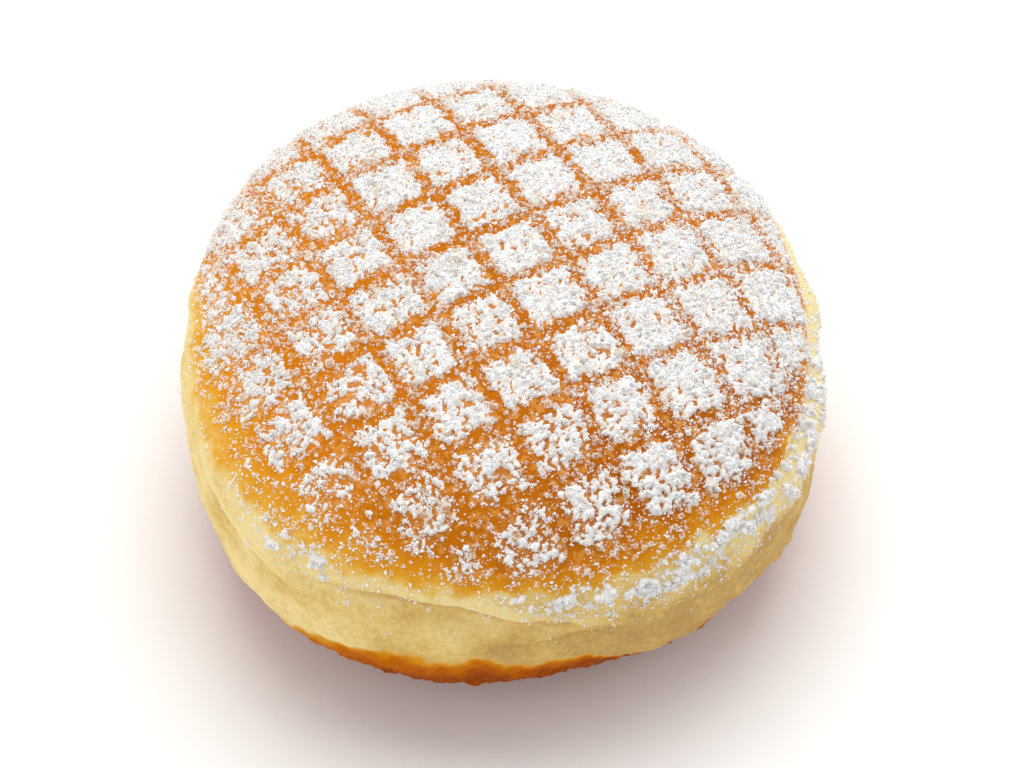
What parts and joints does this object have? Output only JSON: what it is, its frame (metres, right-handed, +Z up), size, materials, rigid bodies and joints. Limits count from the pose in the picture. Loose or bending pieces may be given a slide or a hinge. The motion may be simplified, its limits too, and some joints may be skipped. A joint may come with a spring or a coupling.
{
  "type": "sugared doughnut",
  "caption": "Round doughnut without a hole: domed golden crust with sugar sifted through a square grid, pale collar round the waist, browned underside.",
  "frame": {"origin": "middle of the flat foot that the doughnut rests on", "axes": "+Z up through the crown, -Y towards the side shown in front"},
  "size_m": [0.0873, 0.0909, 0.0465],
  "materials": {
    "crust": "fried dough: golden to deep orange on the dome, cream on the collar, brown underneath, with a faint oily sheen",
    "sugar": "clumped powdered sugar, dull white, with a few clear granulated crystals"
  },
  "bodies": {
    "root": {"doughnut": "crust"}
  },
  "joints": []
}
